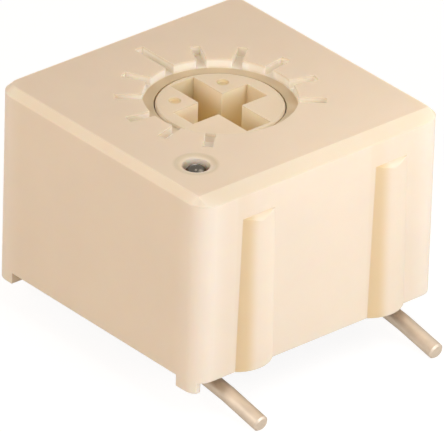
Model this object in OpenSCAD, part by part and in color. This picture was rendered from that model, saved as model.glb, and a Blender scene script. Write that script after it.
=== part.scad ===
// Square single-turn sealed trimmer potentiometer, adjusted from the top, with formed wire leads.
// Millimetres. +Z points up out of the dial and -Y out of the ribbed front wall.
// The origin is under the rotor's axis, at the level of the lowest point of the lead tips.

/* [Housing] */
// Side of the square housing
body_w = 6.92; // [6.85:0.01:7.1]
// Height of the housing's top face above the lead tips
body_top = 5.45; // [5.40:0.01:5.60]
// Height of the bottom edge of the housing's walls
wall_bottom = 0.92; // [0.85:0.01:1.00]
// Radius of the four upright corners
corner_r = 0.42; // [0.30:0.01:0.50]
// Width and height of the chamfer round the top face
chamfer = 0.15; // [0.08:0.01:0.17]
// Width of the broader bevel along the top's front edge
bevel_w = 0.33; // [0.25:0.01:0.40]
// Height of that bevel
bevel_h = 0.18; // [0.18:0.01:0.22]
// Thickness of the walls round the potted pocket
wall_t = 0.45; // [0.40:0.01:0.50]

/* [Dial] */
// Radius of the round recess in the top face
recess_r = 1.72; // [1.65:0.01:1.85]
// Depth of the recess and of the dial marks
recess_depth = 0.22; // [0.15:0.01:0.30]
// Number of dial marks
mark_count = 11; // [5:2:13]
// Angle between one dial mark and the next
mark_step = 26.5; // [20:0.5:27]
// Width of a dial mark
mark_w = 0.24; // [0.15:0.01:0.30]
// Radius at which an ordinary dial mark ends
mark_end = 2.32; // [2.1:0.01:2.5]
// Radius at which the middle dial mark ends
long_mark_end = 2.78; // [2.5:0.01:3.0]

/* [Rotor] */
// Radius of the adjuster disc
rotor_r = 1.43; // [1.35:0.01:1.45]
// Width of the cross slot
slot_w = 0.68; // [0.5:0.01:0.8]
// Reach of the cross slot towards the front and the back
slot_reach_y = 1.30; // [1.0:0.01:1.32]
// Reach of the cross slot towards each side
slot_reach_x = 1.07; // [0.9:0.01:1.32]
// Depth of the cross slot
slot_depth = 1.25; // [0.8:0.01:1.4]
// Turning range each way from the middle of the scale
half_travel = 130; // [110:1:130]

/* [Leads] */
// Distance between the two front leads
pitch = 5.08; // [5.00:0.01:5.10]
// Radius of the lead wire
wire_r = 0.19; // [0.15:0.01:0.20]
// Distance of a lead tip from the housing's centre
tip_reach = 4.57; // [4.2:0.01:5.0]
// Downward slope of the leads outside the housing
lead_slope = 12; // [10:1:14]
// Downward slope of the leads under the housing
under_slope = 8; // [5:1:9]
// Radius of the main bend, along the wire's middle
bend_r = 0.45; // [0.35:0.01:0.50]
// Radius of the slight knee under the wall
knee_r = 1.0; // [0.5:0.1:2.0]

/* [Hidden] */
$fn = 96;

plastic = "#ead3b5";
rotor_plastic = "#ecd8bc";
wire_metal = "#c8a582";
eps = 0.01;         // overshoot of a cutting tool past a face
gap = 0.03;         // running clearance of the rotor
half_w = body_w / 2;
pocket_w = body_w - 2 * wall_t;

// Levels of the stack, from the bottom up
foot_bottom = wall_bottom - 0.27;
potting_bottom = wall_bottom + 0.42;
plate_bottom = potting_bottom + 0.65;
plate_top = plate_bottom + 0.60;
film_t = 0.03;
film_top = plate_top + film_t;
pocket_top = plate_top + 0.35;
flange_bottom = plate_top + 0.50;
flange_top = body_top - 1.25;
seal_top = body_top - 0.60;
ledge = body_top - recess_depth;
rotor_top = ledge + 0.03;

// Rotor chamber and stops
flange_r = 2.35;
chamber_r = 2.70;
lug_half_angle = 15;
stop_slack = 0.5;   // degrees left between lug and stop at the end of the travel
stop_half_angle = 180 - half_travel - lug_half_angle - stop_slack;

// Seal ring
seal_section = 0.30;
seal_room_r = rotor_r + 2 * seal_section + gap;

// Strengthening ribs on the front wall: round beads that lean back into the wall as they rise
rib_spots = [-1.84, 1.97];
rib_height = 3.77;
rib_r = 0.83;
rib_proud = 0.20;       // at the bottom
rib_end_proud = 0.14;   // at the top, where the end is a quarter round of this radius

// Feet: [side of the body, centre along Y, length along Y, thickness along X]
feet = [[-1, -3.035, 0.55, 0.23], [-1, 3.145, 0.61, 0.40],
        [1, -2.600, 0.61, 0.40], [1, 3.145, 0.61, 0.40]];
seat_w = 0.65;      // side of the blocks that the ceramic plate stops against

// Vent
vent_pos = [-2.40, -2.00];
vent_r = 0.31;
vent_bore_r = 0.18;
dish_r = 0.47;      // shallow dish round its mouth
dish_depth = 0.04;
ball_r = 0.26;
ball_centre = body_top - 0.29;

// Staked contact spring
spring_t = 0.08;
finger_w = 0.12;
finger_step = 0.17;
toe_r = 0.08;
toe_clear = 0.01;
stake_pos = [1.05, -0.95];
stake_r = 0.15;

// Printed tracks and soldered joints
track_inner = 1.60;
track_outer = 2.10;
track_half_angle = 120;
end_lead_y = -1.20;
wiper_lead_y = 1.10;
joint_r = 0.34;
plated_hole_r = wire_r + 0.01;
head_top = film_top + 0.12;

module rounded_square(w, r) {
    square([w, w - 2 * r], center = true);
    square([w - 2 * r, w], center = true);
    for (x = [-1, 1], y = [-1, 1])
        translate([x * (w / 2 - r), y * (w / 2 - r)]) circle(r);
}

// Ring sector between two angles, standing on z
module sector(inner, outer, from_angle, to_angle, z, h)
    rotate([0, 0, from_angle])
        rotate_extrude(angle = to_angle - from_angle)
            translate([inner, z]) square([outer - inner, h]);

// Square cap whose four sides and four round corners all slope inwards by its own height
module chamfered_cap(w, r, h) {
    flat = w - 2 * r;
    slope = [[-w / 2, 0], [w / 2, 0], [w / 2 - h, h], [h - w / 2, h]];
    for (turn = [0, 90])
        rotate([0, 0, turn]) rotate([90, 0, 0])
            linear_extrude(flat, center = true) polygon(slope);
    for (x = [-1, 1], y = [-1, 1])
        translate([x * flat / 2, y * flat / 2, 0]) cylinder(r1 = r, r2 = r - h, h = h);
}

module outer_form() {
    translate([0, 0, wall_bottom])
        linear_extrude(body_top - chamfer - wall_bottom) rounded_square(body_w, corner_r);
    translate([0, 0, body_top - chamfer]) chamfered_cap(body_w, corner_r, chamfer);
}

// What the bevel along the front edge takes off
module front_bevel() {
    past = 0.1;
    rise = past * bevel_h / bevel_w;
    translate([0, -half_w, body_top]) rotate([90, 0, 90])
        linear_extrude(body_w + 1, center = true)
            polygon([[-past, -bevel_h - rise], [bevel_w + past, rise], [-past, rise]]);
}

// Rib against the plane y = 0, from z = 0 up
module rib() {
    end_z = rib_height - rib_end_proud;
    lean = atan((rib_proud - rib_end_proud) / end_z);
    intersection() {
        translate([0, rib_r - rib_proud, 0]) rotate([-lean, 0, 0])
            translate([0, 0, -0.1]) cylinder(r = rib_r, h = rib_height + 0.2);
        rotate([90, 0, 90]) linear_extrude(2 * rib_r, center = true) {
            translate([-0.3, 0]) square([0.6, end_z]);
            translate([0, end_z]) circle(rib_end_proud);
        }
    }
}

module foot(f)
    translate([0, 0, foot_bottom])
        linear_extrude(wall_bottom - foot_bottom)
            intersection() {
                rounded_square(body_w, corner_r);
                translate([f[0] * (half_w - f[3] / 2), f[1]]) square([f[3], f[2]], center = true);
            }

// Grooves that run outwards from the recess, the middle one pointing to the back
module dial_marks() {
    middle = (mark_count - 1) / 2;
    for (i = [0 : mark_count - 1]) {
        end = i == middle ? long_mark_end : mark_end;
        rotate([0, 0, 90 + (i - middle) * mark_step])
            translate([recess_r - 0.1, -mark_w / 2, ledge])
                cube([end - recess_r + 0.1, mark_w, recess_depth + eps]);
    }
}

module vent() {
    seat_z = ball_centre - sqrt(pow(ball_r, 2) - pow(vent_bore_r, 2));
    translate(vent_pos) {
        translate([0, 0, seat_z]) cylinder(r = vent_r, h = body_top - seat_z + eps);
        translate([0, 0, pocket_top - eps]) cylinder(r = vent_bore_r, h = seat_z - pocket_top + 2 * eps);
        translate([0, 0, body_top - dish_depth])
            cylinder(r1 = vent_r, r2 = dish_r + eps, h = dish_depth + eps);
    }
}

// Pocket for the plate and the potting, with a seat left standing in each corner
module pocket() {
    seat = pocket_w / 2 - seat_w;
    translate([0, 0, wall_bottom - eps])
        linear_extrude(plate_top - wall_bottom + eps) square(pocket_w, center = true);
    translate([0, 0, plate_top - eps])
        linear_extrude(pocket_top - plate_top + eps) {
            square([pocket_w, 2 * seat], center = true);
            square([2 * seat, pocket_w], center = true);
        }
}

module rotor_chamber() {
    difference() {
        translate([0, 0, pocket_top - eps]) cylinder(r = chamber_r, h = flange_top + 0.05 - pocket_top + eps);
        sector(flange_r + 0.05, chamber_r + 1, 270 - stop_half_angle, 270 + stop_half_angle,
               pocket_top, flange_top + 0.05 - pocket_top + eps);
    }
    translate([0, 0, flange_top]) cylinder(r = seal_room_r, h = seal_top - flange_top);
    translate([0, 0, seal_top - eps]) cylinder(r = rotor_r + gap, h = ledge - seal_top + 2 * eps);
}

module housing()
    color(plastic) difference() {
        union() {
            difference() {
                outer_form();
                front_bevel();
            }
            for (x = rib_spots)
                translate([x, -half_w, wall_bottom]) rib();
            for (f = feet) foot(f);
        }
        translate([0, 0, ledge]) cylinder(r = recess_r, h = recess_depth + eps);
        dial_marks();
        vent();
        pocket();
        rotor_chamber();
    }

module stake() {
    head = 0.10;
    translate([0, 0, flange_bottom - spring_t]) cylinder(r = stake_r, h = spring_t + eps);
    translate([0, 0, flange_bottom - spring_t - head]) cylinder(r1 = stake_r, r2 = stake_r + 0.07, h = head);
}

module rotor() {
    rim = 0.04;
    color(rotor_plastic) {
        difference() {
            union() {
                translate([0, 0, flange_bottom]) cylinder(r = flange_r, h = flange_top - flange_bottom);
                translate([0, 0, flange_top - eps]) cylinder(r = rotor_r, h = rotor_top - rim - flange_top + eps);
                translate([0, 0, rotor_top - rim]) cylinder(r1 = rotor_r, r2 = rotor_r - rim, h = rim);
                sector(flange_r - 0.1, chamber_r - 0.06, 90 - lug_half_angle, 90 + lug_half_angle,
                       flange_bottom + 0.2, flange_top - flange_bottom - 0.2);
            }
            translate([0, 0, rotor_top - slot_depth]) linear_extrude(slot_depth + eps) {
                square([slot_w, 2 * slot_reach_y], center = true);
                square([2 * slot_reach_x, slot_w], center = true);
            }
            for (x = [-1, 1])
                translate([x * 0.69, 0.72, rotor_top - 0.05]) cylinder(r1 = 0.09, r2 = 0.15, h = 0.05 + eps);
        }
        for (side = [-1, 1])
            translate(side * stake_pos) stake();
    }
}

// Ring pressed flat where it bears on the neck
module seal_ring() {
    ring_r = rotor_r + seal_section - 0.02;
    color("#35302c")
        rotate_extrude()
            intersection() {
                translate([ring_r, flange_top + seal_section]) circle(seal_section, $fn = 48);
                translate([rotor_r, flange_top]) square([2 * seal_section, 2 * seal_section]);
            }
}

// Brush finger that falls away from its root at x = 0 towards -X and ends in a round toe
module finger(reach) {
    root_z = flange_bottom - spring_t;
    toe_z = film_top + toe_clear + toe_r;
    fall = atan((root_z + spring_t / 2 - toe_z) / reach);
    length = reach / cos(fall);
    translate([0, finger_w / 2, toe_z]) translate([-reach, 0, 0]) rotate([90, 0, 0])
        cylinder(r = toe_r, h = finger_w, $fn = 32);
    translate([0, -finger_w / 2, root_z + spring_t / 2])
        rotate([0, -fall, 0]) translate([-length, 0, -spring_t / 2]) cube([length, finger_w, spring_t]);
}

module wiper() {
    track_r = (track_inner + track_outer) / 2;
    root_x = 0.85;
    window = [1.30, 0.50];
    color("#c9b27a") {
        translate([0, 0, flange_bottom - spring_t]) linear_extrude(spring_t)
            difference() {
                union() {
                    circle(1.62);
                    intersection() {
                        circle(flange_r - 0.05);
                        translate([root_x - 0.1, 0]) square([0.7, 3]);
                    }
                }
                translate([-root_x, -window[1] / 2]) square(window);
                translate([root_x - window[0] + 0.2, track_r - 0.27]) square([window[0] - 0.2, 0.6]);
                for (side = [-1, 1])
                    translate(side * stake_pos) circle(stake_r);
            }
        for (i = [-1, 0, 1])
            translate([root_x + 0.02, track_r + i * finger_step, 0]) finger(root_x);
        for (i = [-0.5, 0.5])
            translate([0, i * finger_step, 0]) mirror([1, 0, 0])
                translate([root_x + 0.02, 0, 0]) finger(root_x);
    }
}

// Where the three wires pass through the ceramic plate
lead_spots = [[-pitch / 2, end_lead_y], [pitch / 2, end_lead_y], [0, wiper_lead_y]];

module substrate()
    color("#f1efe8")
        translate([0, 0, plate_bottom]) linear_extrude(plate_top - plate_bottom)
            difference() {
                rounded_square(pocket_w - 0.04, 0.12);
                for (p = lead_spots)
                    translate(p) circle(plated_hole_r, $fn = 48);
            }

module resistive_track()
    color("#2d2b2a")
        sector(track_inner, track_outer, 90 - track_half_angle, 90 + track_half_angle, plate_top, film_t);

module collector_film()
    color("#b9b4aa")
        translate([0, 0, plate_top]) linear_extrude(film_t)
            difference() {
                union() {
                    circle(0.5);
                    translate([-0.2, 0]) square([0.4, wiper_lead_y]);
                    translate([0, wiper_lead_y]) circle(joint_r);
                }
                translate([0, wiper_lead_y]) circle(plated_hole_r, $fn = 48);
            }

// Film from one end of the track to its lead; side is -1 on the left and 1 on the right
module end_film(side)
    color("#b9b4aa") mirror([side < 0 ? 1 : 0, 0, 0])
        difference() {
            union() {
                sector(track_inner, track_outer, -50, 90 - track_half_angle, plate_top, film_t);
                translate([1.40, -1.45, plate_top]) cube([pitch / 2 - 1.40, 0.33, film_t]);
                translate([pitch / 2, end_lead_y, plate_top]) cylinder(r = joint_r + 0.03, h = film_t);
            }
            translate([pitch / 2, end_lead_y, plate_top - eps])
                cylinder(r = plated_hole_r, h = film_t + 2 * eps, $fn = 48);
        }

// Wire bent forwards (-Y): upright leg at leg_y, main bend, a stretch that falls gently under the housing,
// then a slight knee under the wall and the free end, which slopes down to its tip
module lead(x, leg_y) {
    tip_chamfer = 0.04;
    knee_turn = lead_slope - under_slope;
    tip_z = wire_r * cos(lead_slope) - tip_chamfer * sin(lead_slope);
    free_length = (tip_reach - half_w) / cos(lead_slope);
    knee_y = -half_w + knee_r * (sin(lead_slope) - sin(under_slope));
    knee_z = tip_z + free_length * sin(lead_slope) + knee_r * (cos(under_slope) - cos(lead_slope));
    bend_y = leg_y - bend_r;
    under_length = (bend_y + bend_r * sin(under_slope) - knee_y) / cos(under_slope);
    bend_z = knee_z + under_length * sin(under_slope) + bend_r * cos(under_slope);
    translate([x, bend_y, bend_z]) {
        translate([0, bend_r, 0]) cylinder(r = wire_r, h = head_top - bend_z, $fn = 48);
        rotate([90, 0, 90]) rotate([0, 0, under_slope - 90])
            rotate_extrude(angle = 90 - under_slope) translate([bend_r, 0]) circle(wire_r, $fn = 48);
        rotate([under_slope, 0, 0]) translate([0, 0, -bend_r]) rotate([90, 0, 0]) {
            cylinder(r = wire_r, h = under_length, $fn = 48);
            translate([0, -knee_r, under_length]) {
                rotate([90, 0, 90]) rotate_extrude(angle = knee_turn)
                    translate([knee_r, 0]) circle(wire_r, $fn = 48);
                rotate([knee_turn, 0, 0]) translate([0, knee_r, 0]) {
                    cylinder(r = wire_r, h = free_length - tip_chamfer, $fn = 48);
                    translate([0, 0, free_length - tip_chamfer])
                        cylinder(r1 = wire_r, r2 = wire_r - tip_chamfer, h = tip_chamfer, $fn = 48);
                }
            }
        }
    }
}

module end_lead_left() color(wire_metal) lead(-pitch / 2, end_lead_y);

module end_lead_right() color(wire_metal) lead(pitch / 2, end_lead_y);

module wiper_lead() color(wire_metal) mirror([0, 1, 0]) lead(0, -wiper_lead_y);

// Cone of solder round a wire's end
module solder(spot)
    color("#c4c6c8") translate([spot[0], spot[1], film_top])
        difference() {
            cylinder(r1 = joint_r - 0.03, r2 = wire_r + 0.03, h = 0.15);
            translate([0, 0, -eps]) cylinder(r = wire_r, h = 0.15 + 2 * eps);
        }

module potting()
    color("#5b4a3c") difference() {
        translate([0, 0, potting_bottom]) linear_extrude(plate_bottom - potting_bottom)
            square(pocket_w, center = true);
        for (p = lead_spots)
            translate([p[0], p[1], potting_bottom - eps])
                cylinder(r = wire_r, h = plate_bottom - potting_bottom + 2 * eps);
    }

module vent_ball()
    color("#70706e") translate([vent_pos[0], vent_pos[1], ball_centre]) sphere(ball_r);

housing();
rotor();
seal_ring();
wiper();
substrate();
resistive_track();
collector_film();
end_film(-1);  // end_film_left
end_film(1);  // end_film_right
end_lead_left();
end_lead_right();
wiper_lead();
solder(lead_spots[0]);  // solder_left
solder(lead_spots[1]);  // solder_right
solder(lead_spots[2]);  // solder_wiper
potting();
vent_ball();
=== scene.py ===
import math

import bpy
from mathutils import Matrix, Vector

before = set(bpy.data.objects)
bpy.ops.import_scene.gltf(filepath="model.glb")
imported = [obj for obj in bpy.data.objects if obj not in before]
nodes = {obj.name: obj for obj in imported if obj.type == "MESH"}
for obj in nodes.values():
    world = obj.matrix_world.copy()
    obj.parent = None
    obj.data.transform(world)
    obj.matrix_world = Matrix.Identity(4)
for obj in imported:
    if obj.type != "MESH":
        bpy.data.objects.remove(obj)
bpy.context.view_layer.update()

mm = 0.001
scene = bpy.context.scene
scene.view_settings.view_transform = "Standard"
print("frame loaded,", len(nodes), "pieces")


# Camera: a long lens, looking down over the front left corner, tipped very slightly

cameraView = {
    "lookAt": (0.0, 0.0, 2.845),  # mm
    "azimuth": -41.43,            # degrees round from the front
    "elevation": 29.245,          # degrees above the horizon
    "roll": 1.849,                # degrees
    "distance": 197.68,           # mm
    "lens": 729.2,                # mm
    "sensor": 36,                 # mm wide
    "aimRight": 0.108,            # mm from the look-at point to the aim, across
    "aimUp": -0.349,              # mm, and up
    "seesFrom": 10,               # mm
    "seesTo": 5000,               # mm
}


def placeCamera(view):
    azimuth, elevation, roll = (math.radians(view[k]) for k in ("azimuth", "elevation", "roll"))
    back = Vector((math.sin(azimuth) * math.cos(elevation),
                   -math.cos(azimuth) * math.cos(elevation), math.sin(elevation)))
    right = Vector((0, 0, 1)).cross(back).normalized()
    up = back.cross(right)
    rolledRight = right * math.cos(roll) + up * math.sin(roll)
    rolledUp = up * math.cos(roll) - right * math.sin(roll)
    lookAt = Vector(view["lookAt"])
    place = (lookAt + back * view["distance"]) * mm
    aim = (lookAt + rolledRight * view["aimRight"] + rolledUp * view["aimUp"]) * mm
    axisZ = (place - aim).normalized()
    axisX = rolledUp.cross(axisZ).normalized()
    axisY = axisZ.cross(axisX)
    turn = Matrix((axisX, axisY, axisZ)).transposed().to_4x4()
    camera = bpy.data.objects.new("camera", bpy.data.cameras.new("camera"))
    camera.matrix_world = Matrix.Translation(place) @ turn
    camera.data.sensor_width = view["sensor"]
    camera.data.lens = view["lens"]
    camera.data.clip_start = view["seesFrom"] * mm
    camera.data.clip_end = view["seesTo"] * mm
    scene.collection.objects.link(camera)
    scene.camera = camera


placeCamera(cameraView)
print("camera placed")


# What the materials share

noiseLow, noiseHigh = 0.3, 0.7  # nearly all of a noise lies between these


def emptyTree(owner):
    owner.use_nodes = True
    owner.node_tree.nodes.clear()
    return owner.node_tree


def newMaterial(name):
    material = bpy.data.materials.new(name)
    tree = emptyTree(material)
    output = tree.nodes.new("ShaderNodeOutputMaterial")
    shader = tree.nodes.new("ShaderNodeBsdfPrincipled")
    tree.links.new(shader.outputs["BSDF"], output.inputs["Surface"])
    return material, tree, shader


def inMillimetres(tree, stretch=(1, 1, 1)):
    # the piece's own coordinates, in millimetres
    coordinates = tree.nodes.new("ShaderNodeTexCoord")
    mapping = tree.nodes.new("ShaderNodeMapping")
    mapping.inputs["Scale"].default_value = [s / mm for s in stretch]
    tree.links.new(coordinates.outputs["Object"], mapping.inputs["Vector"])
    return mapping.outputs["Vector"]


def noise(tree, place, scale, detail=2.0):
    texture = tree.nodes.new("ShaderNodeTexNoise")
    texture.inputs["Scale"].default_value = scale
    texture.inputs["Detail"].default_value = detail
    tree.links.new(place, texture.inputs["Vector"])
    return texture.outputs["Fac"]


def spread(tree, value, low, high):
    # a noise stretched to run from low to high
    remap = tree.nodes.new("ShaderNodeMapRange")
    remap.inputs["From Min"].default_value = noiseLow
    remap.inputs["From Max"].default_value = noiseHigh
    remap.inputs["To Min"].default_value = low
    remap.inputs["To Max"].default_value = high
    tree.links.new(value, remap.inputs["Value"])
    return remap.outputs["Result"]


def between(tree, amount, first, second):
    mix = tree.nodes.new("ShaderNodeMix")
    mix.data_type = "RGBA"
    mix.inputs["A"].default_value = (*first, 1)
    mix.inputs["B"].default_value = (*second, 1)
    tree.links.new(amount, mix.inputs["Factor"])
    return mix.outputs["Result"]


def bump(tree, height, strength, depthMm):
    node = tree.nodes.new("ShaderNodeBump")
    node.inputs["Strength"].default_value = strength
    node.inputs["Distance"].default_value = depthMm * mm
    tree.links.new(height, node.inputs["Height"])
    return node.outputs["Normal"]


def shade(colour, factor):
    return tuple(min(1.0, c * factor) for c in colour)


def clouded(tree, place, look, surface):
    # the colour drifts a little between a darker and a paler shade
    cloud = spread(tree, noise(tree, place, look["cloudScale"], surface["cloudDetail"]), 0, 1)
    darker = shade(look["colour"], surface["darker"])
    return between(tree, cloud, darker, shade(look["colour"], surface["paler"]))


# Areas where light and shade are painted into a moulding's colour, each a number from 0 to 1 over
# the surface

def spaceAxes(tree, place):
    apart = tree.nodes.new("ShaderNodeSeparateXYZ")
    tree.links.new(place, apart.inputs["Vector"])
    return apart.outputs["X"], apart.outputs["Y"], apart.outputs["Z"]


def sums(tree, operation, first, second=0.0):
    # one step of arithmetic on numbers or on values over the surface
    node = tree.nodes.new("ShaderNodeMath")
    node.operation = operation
    for socket, value in zip(node.inputs, (first, second)):
        if isinstance(value, (int, float)):
            socket.default_value = value
        else:
            tree.links.new(value, socket)
    return node.outputs["Value"]


def ramp(tree, value, start, end):
    # 0 at start, 1 at end, smooth between
    remap = tree.nodes.new("ShaderNodeMapRange")
    remap.interpolation_type = "SMOOTHSTEP"
    remap.inputs["From Min"].default_value = start
    remap.inputs["From Max"].default_value = end
    tree.links.new(value, remap.inputs["Value"])
    return remap.outputs["Result"]


def both(tree, *areas):
    shared = areas[0]
    for area in areas[1:]:
        shared = sums(tree, "MULTIPLY", shared, area)
    return shared


def fromAxis(tree, x, y, middle=(0.0, 0.0)):
    # distance from an upright line through middle
    across = sums(tree, "SUBTRACT", x, middle[0])
    along = sums(tree, "SUBTRACT", y, middle[1])
    squares = [sums(tree, "MULTIPLY", side, side) for side in (across, along)]
    return sums(tree, "SQRT", sums(tree, "ADD", *squares))


def toned(tree, colour, amount, factor):
    # the colour times factor where amount is 1
    mix = tree.nodes.new("ShaderNodeMix")
    mix.data_type = "RGBA"
    mix.blend_type = "MULTIPLY"
    mix.inputs["B"].default_value = (*factor, 1)
    tree.links.new(amount, mix.inputs["Factor"])
    tree.links.new(colour, mix.inputs["A"])
    return mix.outputs["Result"]


# Where they lie on the housing: painted light makes the upright corners, chamfers and dial marks
# paler; painted shade makes the front bevel, the left flanks of the ribs, the sunk ring round the
# rotor and the dish round the vent deeper

# Each pair is where an area starts and where it is full, in mm
housingAreas = {
    "corner": (6.00, 6.80),         # x and y together
    "cornerPaintedLight": (1.06, 1.105, 1.175),
    "chamfer": (8.70, 8.755),
    "chamferPaintedLight": (1.14, 1.16, 1.18),
    "bevelReach": (-3.10, -3.15),
    "bevelHeight": (5.24, 5.28),
    "bevelPaintedShade": (0.95, 0.97, 0.95),
    "ribX": (-1.84, 1.97),
    "flankInner": (0.05, 0.37),     # left of a rib's middle
    "flankOuter": (0.64, 0.55),
    "ribProud": (-3.455, -3.475),
    "flankPaintedShade": (0.90, 0.81, 0.62),
    "ledgeRadius": (1.735, 1.70),
    "ledgeHeight": (5.29, 5.24),
    "ledgeFront": (-1.95, -1.35),   # x and y together; no painted shade next to the vent
    "ledgePaintedShade": (0.82, 0.78, 0.67),
    "markFrom": (1.69, 1.715),      # takes in the wall that the marks run out from
    "markTo": (3.0, 2.9),
    "markHeight": (5.44, 5.38),
    "markPaintedLight": (1.16, 1.26, 1.41),
    "vent": (-2.40, -2.00),
    "dishFrom": (0.33, 0.42),       # from the vent's middle
    "dishTo": (0.54, 0.45),
    "dishHeight": (5.30, 5.38),
    "dishPaintedShade": (0.86, 0.87, 0.82),
}


# painted light: the upright corners are made paler, as if light wrapped round them
def cornerPaintedLightArea(tree, x, y, z):
    reach = sums(tree, "ADD", sums(tree, "ABSOLUTE", x), sums(tree, "ABSOLUTE", y))
    return ramp(tree, reach, *housingAreas["corner"])


# painted highlight: the chamfers along the side and back top edges are made paler
def chamferPaintedLightArea(tree, x, y, z):
    # outward and up together is the same all over a chamfer
    outward = sums(tree, "MAXIMUM", sums(tree, "ABSOLUTE", x), y)
    return ramp(tree, sums(tree, "ADD", outward, z), *housingAreas["chamfer"])


# painted shade: the front bevel along the top edge is made a little darker
def bevelPaintedShadeArea(tree, x, y, z):
    front = ramp(tree, y, *housingAreas["bevelReach"])
    return both(tree, front, ramp(tree, z, *housingAreas["bevelHeight"]))


# painted shade: the left flank of each front rib is made darker and warmer
def ribFlankPaintedShadeArea(tree, x, y, z):
    flanks = []
    for ribX in housingAreas["ribX"]:
        aside = sums(tree, "SUBTRACT", ribX, x)
        inner = ramp(tree, aside, *housingAreas["flankInner"])
        flanks.append(both(tree, inner, ramp(tree, aside, *housingAreas["flankOuter"])))
    proud = ramp(tree, y, *housingAreas["ribProud"])
    return both(tree, sums(tree, "MAXIMUM", *flanks), proud)


# painted shade: the sunk ring round the rotor is darkened, as if in the shade of the recess
def ledgePaintedShadeArea(tree, x, y, z):
    inside = ramp(tree, fromAxis(tree, x, y), *housingAreas["ledgeRadius"])
    low = ramp(tree, z, *housingAreas["ledgeHeight"])
    return both(tree, inside, low, ramp(tree, sums(tree, "ADD", x, y), *housingAreas["ledgeFront"]))


# painted light: the dial marks and the recess wall they run out from are made paler, lifting the
# shade inside the grooves
def markPaintedLightArea(tree, x, y, z):
    radius = fromAxis(tree, x, y)
    inner = ramp(tree, radius, *housingAreas["markFrom"])
    outer = ramp(tree, radius, *housingAreas["markTo"])
    return both(tree, inner, outer, ramp(tree, z, *housingAreas["markHeight"]))


# painted shade: a darker ring in the shallow dish round the vent
def dishPaintedShadeArea(tree, x, y, z):
    radius = fromAxis(tree, x, y, housingAreas["vent"])
    inner = ramp(tree, radius, *housingAreas["dishFrom"])
    outer = ramp(tree, radius, *housingAreas["dishTo"])
    return both(tree, inner, outer, ramp(tree, z, *housingAreas["dishHeight"]))


# And on the rotor, painted light and shade: the cross slot is painted paler just below the top and
# deeper towards its floor and at the far ends of two arms, the arm towards -X is painted palest,
# and the dimples are painted darker

rotorAreas = {
    "slotReach": (1.40, 1.34),
    "slotBelow": (5.25, 5.22),
    "slotWallPaintedLight": (1.14, 1.17, 1.16),
    "slotDeep": (5.15, 4.35),
    "slotDeepPaintedShade": (0.98, 0.92, 0.74),
    "deepFromX": (-0.45, -0.30),    # the arm towards -X has no painted shade
    "leftArm": (-0.345, -0.36),
    "leftArmPaintedLight": (1.05, 1.01, 1.03),
    "slotEndY": (0.60, 1.25),       # the far ends of the arms towards +Y and +X
    "slotEndX": (0.98, 1.05),
    "slotEndPaintedShade": (0.84, 0.81, 0.76),
    "dimples": ((-0.69, 0.72), (0.69, 0.72)),
    "dimpleEdge": (0.16, 0.12),
    "dimplePaintedShade": (0.84, 0.79, 0.62),
}


def slotArea(tree, x, y, z, height):
    inside = ramp(tree, fromAxis(tree, x, y), *rotorAreas["slotReach"])
    return both(tree, inside, ramp(tree, z, *rotorAreas[height]))


# painted light: the slot walls just below the rotor's top are made paler; the same area bounds the
# painted slot ends and -X arm
def slotWallArea(tree, x, y, z):
    return slotArea(tree, x, y, z, "slotBelow")


# painted shade: the slot is darkened towards its floor, except in the arm towards -X
def slotDepthPaintedShadeArea(tree, x, y, z):
    deep = slotArea(tree, x, y, z, "slotDeep")
    return both(tree, deep, ramp(tree, x, *rotorAreas["deepFromX"]))


# painted shade: the far ends of the arms towards +Y and +X are darkened
def slotEndPaintedShadeArea(tree, x, y, z):
    ends = [ramp(tree, y, *rotorAreas["slotEndY"]), ramp(tree, x, *rotorAreas["slotEndX"])]
    return both(tree, slotWallArea(tree, x, y, z), sums(tree, "MAXIMUM", *ends))


# painted light: the walls of the arm towards -X are made paler
def leftArmPaintedLightArea(tree, x, y, z):
    return both(tree, slotWallArea(tree, x, y, z), ramp(tree, x, *rotorAreas["leftArm"]))


# painted shade: the dimples on the rotor's top are darkened
def dimplePaintedShadeArea(tree, x, y, z):
    edge = rotorAreas["dimpleEdge"]
    dimples = [ramp(tree, fromAxis(tree, x, y, middle), *edge) for middle in rotorAreas["dimples"]]
    return sums(tree, "MAXIMUM", *dimples)


# Moulded plastic: even colour with a slight drift, fine spark-eroded grain, and painted light and
# shade over given areas

mouldedSurface = {
    "grainDetail": 3.0,
    "grainDepth": 0.004,             # mm
    "grainsAcross": 3,               # in a patch of even roughness
    "roughnessSpread": 0.05,         # either way
    "glowReach": (1.0, 0.62, 0.35),  # of red, green and blue, in shares of glowDepth
}

housingLook = {
    "colour": (0.83, 0.72, 0.575),
    "drift": 0.012,
    "driftScale": 0.8,      # blotches per mm
    "grainScale": 38.0,     # grains per mm
    "grainStrength": 0.12,
    "roughness": 0.55,
    "gloss": 0.3,
    "glow": 0.4,
    "glowDepth": 0.35,      # mm
}

rotorLook = {
    "colour": (0.865, 0.75, 0.58),
    "drift": 0.012,
    "driftScale": 1.2,
    "grainScale": 42.0,
    "grainStrength": 0.10,
    "roughness": 0.50,
    "gloss": 0.35,
    "glow": 0.4,
    "glowDepth": 0.30,
}


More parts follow.
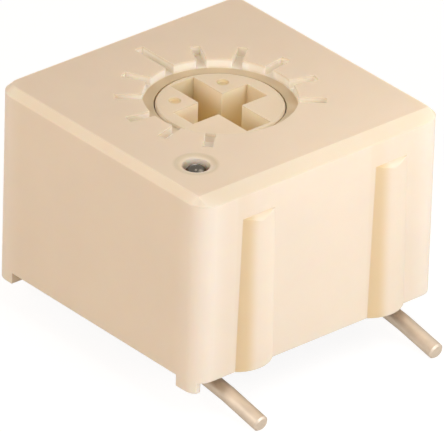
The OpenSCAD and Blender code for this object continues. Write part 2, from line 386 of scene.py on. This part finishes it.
def mouldedPlastic(name, look, areas):
    surface = mouldedSurface
    material, tree, shader = newMaterial(name)
    place = inMillimetres(tree)

    drift = spread(tree, noise(tree, place, look["driftScale"]), 0, 1)
    darker = shade(look["colour"], 1 - look["drift"])
    tint = between(tree, drift, darker, shade(look["colour"], 1 + look["drift"]))
    # painted light and shade: each area's colour is multiplied paler or darker
    for area, paintedShading in areas:
        tint = toned(tree, tint, area(tree, *spaceAxes(tree, place)), paintedShading)
    tree.links.new(tint, shader.inputs["Base Color"])

    patches = noise(tree, place, look["grainScale"] / surface["grainsAcross"])
    smoothest = look["roughness"] - surface["roughnessSpread"]
    rough = spread(tree, patches, smoothest, look["roughness"] + surface["roughnessSpread"])
    tree.links.new(rough, shader.inputs["Roughness"])

    grain = noise(tree, place, look["grainScale"], surface["grainDetail"])
    normal = bump(tree, grain, look["grainStrength"], surface["grainDepth"])
    tree.links.new(normal, shader.inputs["Normal"])
    shader.inputs["Specular IOR Level"].default_value = look["gloss"]
    shader.inputs["Subsurface Weight"].default_value = look["glow"]
    shader.inputs["Subsurface Radius"].default_value = surface["glowReach"]
    shader.inputs["Subsurface Scale"].default_value = look["glowDepth"] * mm
    return material


# Metals, with the lines that drawing or rolling leaves along the piece

metalSurface = {
    "lineDetail": 3.0,
    "lineDepth": 0.002,  # mm
    "cloudDetail": 3.0,
    "darker": 0.93,
    "paler": 1.05,
    "smoother": 0.06,    # how far roughness falls and rises along the lines
    "rougher": 0.08,
}

leadLook = {
    "colour": (0.67, 0.565, 0.445),
    "edge": (0.05, 0.03, 0.02),
    "metallic": 0.6,
    "roughness": 0.46,
    "stretch": (9, 0.35, 9),   # lines run along the slope of the wire
    "lineScale": 5.0,
    "lineStrength": 0.15,
    "cloudScale": 3.0,
}

ballLook = {
    "colour": (0.115, 0.10, 0.08),
    "edge": (0.8, 0.8, 0.8),
    "metallic": 1.0,
    "roughness": 0.20,
    "stretch": (1, 1, 1),
    "lineScale": 20.0,
    "lineStrength": 0.03,
    "cloudScale": 4.0,
}

springLook = {
    "colour": (0.72, 0.58, 0.34),
    "edge": (1, 0.9, 0.7),
    "metallic": 1.0,
    "roughness": 0.28,
    "stretch": (0.5, 12, 12),
    "lineScale": 4.0,
    "lineStrength": 0.15,
    "cloudScale": 2.0,
}

solderLook = {
    "colour": (0.62, 0.62, 0.63),
    "edge": (1, 1, 1),
    "metallic": 1.0,
    "roughness": 0.34,
    "stretch": (1, 1, 1),
    "lineScale": 14.0,
    "lineStrength": 0.25,
    "cloudScale": 6.0,
}


def drawnMetal(name, look):
    surface = metalSurface
    material, tree, shader = newMaterial(name)
    tint = clouded(tree, inMillimetres(tree), look, surface)
    tree.links.new(tint, shader.inputs["Base Color"])

    along = inMillimetres(tree, look["stretch"])
    lines = noise(tree, along, look["lineScale"], surface["lineDetail"])
    smoothest = look["roughness"] - surface["smoother"]
    rough = spread(tree, lines, smoothest, look["roughness"] + surface["rougher"])
    tree.links.new(rough, shader.inputs["Roughness"])
    normal = bump(tree, lines, look["lineStrength"], surface["lineDepth"])
    tree.links.new(normal, shader.inputs["Normal"])
    shader.inputs["Metallic"].default_value = look["metallic"]
    shader.inputs["Specular Tint"].default_value = (*look["edge"], 1)
    return material


# Everything else: fired, printed, cast and rubber surfaces

plainFinish = {
    "grainDetail": 4.0,
    "grainDepth": 0.006,      # mm
    "cloudDetail": 3.0,
    "darker": 0.92,
    "paler": 1.06,
    "roughnessSpread": 0.07,  # either way
}

aluminaLook = {"colour": (0.86, 0.84, 0.78), "cloudScale": 1.5, "grainScale": 30.0,
               "grainStrength": 0.2, "roughness": 0.6, "metallic": 0.0}
inkLook = {"colour": (0.035, 0.033, 0.032), "cloudScale": 8.0, "grainScale": 45.0,
           "grainStrength": 0.3, "roughness": 0.42, "metallic": 0.0}
filmLook = {"colour": (0.55, 0.53, 0.50), "cloudScale": 6.0, "grainScale": 50.0,
            "grainStrength": 0.3, "roughness": 0.45, "metallic": 0.8}
rubberLook = {"colour": (0.035, 0.032, 0.030), "cloudScale": 5.0, "grainScale": 25.0,
              "grainStrength": 0.2, "roughness": 0.62, "metallic": 0.0}
epoxyLook = {"colour": (0.16, 0.105, 0.07), "cloudScale": 1.1, "grainScale": 9.0,
             "grainStrength": 0.12, "roughness": 0.33, "metallic": 0.0}


def plainSurface(name, look):
    surface = plainFinish
    material, tree, shader = newMaterial(name)
    place = inMillimetres(tree)
    tree.links.new(clouded(tree, place, look, surface), shader.inputs["Base Color"])

    grain = noise(tree, place, look["grainScale"], surface["grainDetail"])
    smoothest = look["roughness"] - surface["roughnessSpread"]
    rough = spread(tree, grain, smoothest, look["roughness"] + surface["roughnessSpread"])
    tree.links.new(rough, shader.inputs["Roughness"])
    normal = bump(tree, grain, look["grainStrength"], surface["grainDepth"])
    tree.links.new(normal, shader.inputs["Normal"])
    shader.inputs["Metallic"].default_value = look["metallic"]
    return material


# Every piece and its finish

finishes = {
    "housing": mouldedPlastic("creamMoulding", housingLook, [
        (cornerPaintedLightArea, housingAreas["cornerPaintedLight"]),
        (chamferPaintedLightArea, housingAreas["chamferPaintedLight"]),
        (bevelPaintedShadeArea, housingAreas["bevelPaintedShade"]),
        (ribFlankPaintedShadeArea, housingAreas["flankPaintedShade"]),
        (ledgePaintedShadeArea, housingAreas["ledgePaintedShade"]),
        (markPaintedLightArea, housingAreas["markPaintedLight"]),
        (dishPaintedShadeArea, housingAreas["dishPaintedShade"])]),
    "rotor": mouldedPlastic("adjusterMoulding", rotorLook, [
        (slotWallArea, rotorAreas["slotWallPaintedLight"]),
        (slotDepthPaintedShadeArea, rotorAreas["slotDeepPaintedShade"]),
        (slotEndPaintedShadeArea, rotorAreas["slotEndPaintedShade"]),
        (leftArmPaintedLightArea, rotorAreas["leftArmPaintedLight"]),
        (dimplePaintedShadeArea, rotorAreas["dimplePaintedShade"])]),
    "seal_ring": plainSurface("sealRubber", rubberLook),
    "wiper": drawnMetal("springStrip", springLook),
    "substrate": plainSurface("firedAlumina", aluminaLook),
    "resistive_track": plainSurface("cermetInk", inkLook),
    "collector_film": plainSurface("silverFilm", filmLook),
    "end_lead_left": drawnMetal("tinnedWire", leadLook),
    "solder_left": drawnMetal("solderJoint", solderLook),
    "potting": plainSurface("pouredEpoxy", epoxyLook),
    "vent_ball": drawnMetal("ballSteel", ballLook),
}
finishes["end_film_left"] = finishes["end_film_right"] = finishes["collector_film"]
finishes["end_lead_right"] = finishes["wiper_lead"] = finishes["end_lead_left"]
finishes["solder_right"] = finishes["solder_wiper"] = finishes["solder_left"]

for name, piece in nodes.items():
    piece.data.materials.clear()
    piece.data.materials.append(finishes[name])
print("materials made")


# Floor and light. What the camera sees behind the object is plain white

studio = {
    "floorSize": 2.0,                    # m
    "floorColour": (0.80, 0.78, 0.75),
    "floorGlow": 0.88,                   # white that the camera sees whatever the light
    "floorShare": 0.22,                  # how much of the light and shadow it adds to that
    "backdrop": (1.0, 1.0, 1.0),
    "fill": (1.0, 0.72, 0.48),
    "fillStrength": 0.36,
    "lampAim": (0, 0, 3),                # mm
}

# Round lamps: place and diameter in mm
lamps = {
    "upperLeft": {
        "place": (-51, 0, 27), "across": 40, "watts": 0.0123, "colour": (1.0, 0.965, 0.96)},
    "lowFront": {
        "place": (0, -58, 12), "across": 30, "watts": 0.0081, "colour": (0.96, 1.07, 1.20)},
    "lowRight": {
        "place": (29, -50, 12), "across": 30, "watts": 0.0040, "colour": (0.96, 1.07, 1.20)},
    "overRight": {
        "place": (5, -9, 13.5), "across": 12, "watts": 0.00070, "colour": (1.0, 0.99, 0.97)},
    "byFront": {
        "place": (-2, -13, 5), "across": 5, "watts": 0.00011, "colour": (1.0, 1.1, 1.4)},
    "overhead": {
        "place": (-6, -6, 60), "across": 10, "watts": 0.0027, "colour": (1.0, 1.0, 1.0)},
    "behind": {
        "place": (30, 50, 6), "across": 30, "watts": 0.0110, "colour": (1.0, 0.98, 0.96)},
}


def inView(tree):
    # 1 for what the camera sees, straight, in a reflection or through something clear
    path = tree.nodes.new("ShaderNodeLightPath")
    seen = sums(tree, "MAXIMUM", path.outputs["Is Camera Ray"], path.outputs["Is Glossy Ray"])
    return sums(tree, "MAXIMUM", seen, path.outputs["Is Transmission Ray"])


def choose(tree, amount, first, second):
    mix = tree.nodes.new("ShaderNodeMixShader")
    tree.links.new(amount, mix.inputs["Fac"])
    tree.links.new(first, mix.inputs[1])
    tree.links.new(second, mix.inputs[2])
    return mix.outputs["Shader"]


def diffuse(tree, colour):
    node = tree.nodes.new("ShaderNodeBsdfDiffuse")
    node.inputs["Color"].default_value = (*colour, 1)
    return node.outputs["BSDF"]


def background(tree, colour, strength=1.0):
    node = tree.nodes.new("ShaderNodeBackground")
    node.inputs["Color"].default_value = (*colour, 1)
    node.inputs["Strength"].default_value = strength
    return node.outputs["Background"]


def litFloor():
    material = bpy.data.materials.new("paleFloor")
    tree = emptyTree(material)
    glow = tree.nodes.new("ShaderNodeEmission")
    glow.inputs["Strength"].default_value = studio["floorGlow"]
    white = tree.nodes.new("ShaderNodeAddShader")
    tree.links.new(diffuse(tree, (studio["floorShare"],) * 3), white.inputs[0])
    tree.links.new(glow.outputs["Emission"], white.inputs[1])
    plain = diffuse(tree, studio["floorColour"])
    above = choose(tree, inView(tree), plain, white.outputs["Shader"])
    # from underneath, the floor is clear
    clear = tree.nodes.new("ShaderNodeBsdfTransparent")
    side = tree.nodes.new("ShaderNodeNewGeometry")
    whole = choose(tree, side.outputs["Backfacing"], above, clear.outputs["BSDF"])
    output = tree.nodes.new("ShaderNodeOutputMaterial")
    tree.links.new(whole, output.inputs["Surface"])
    return material


def layFloor():
    half = studio["floorSize"] / 2
    corners = [(-half, -half, 0), (half, -half, 0), (half, half, 0), (-half, half, 0)]
    mesh = bpy.data.meshes.new("floor")
    mesh.from_pydata(corners, [], [(0, 1, 2, 3)])
    floor = bpy.data.objects.new("floor", mesh)
    floor.data.materials.append(litFloor())
    scene.collection.objects.link(floor)


def fillWithLight():
    scene.world = bpy.data.worlds.new("studio")
    tree = emptyTree(scene.world)
    fill = background(tree, studio["fill"], studio["fillStrength"])
    around = choose(tree, inView(tree), fill, background(tree, studio["backdrop"]))
    output = tree.nodes.new("ShaderNodeOutputWorld")
    tree.links.new(around, output.inputs["Surface"])


def hangLamps():
    aim = Vector(studio["lampAim"]) * mm
    for name, look in lamps.items():
        lamp = bpy.data.lights.new(name, "AREA")
        lamp.shape = "DISK"
        lamp.size = look["across"] * mm
        lamp.energy = look["watts"]
        lamp.color = look["colour"]
        lampObject = bpy.data.objects.new(name, lamp)
        lampObject.location = Vector(look["place"]) * mm
        towards = aim - lampObject.location
        lampObject.rotation_euler = towards.to_track_quat("-Z", "Y").to_euler()
        scene.collection.objects.link(lampObject)


layFloor()
fillWithLight()
hangLamps()
print("studio lit")
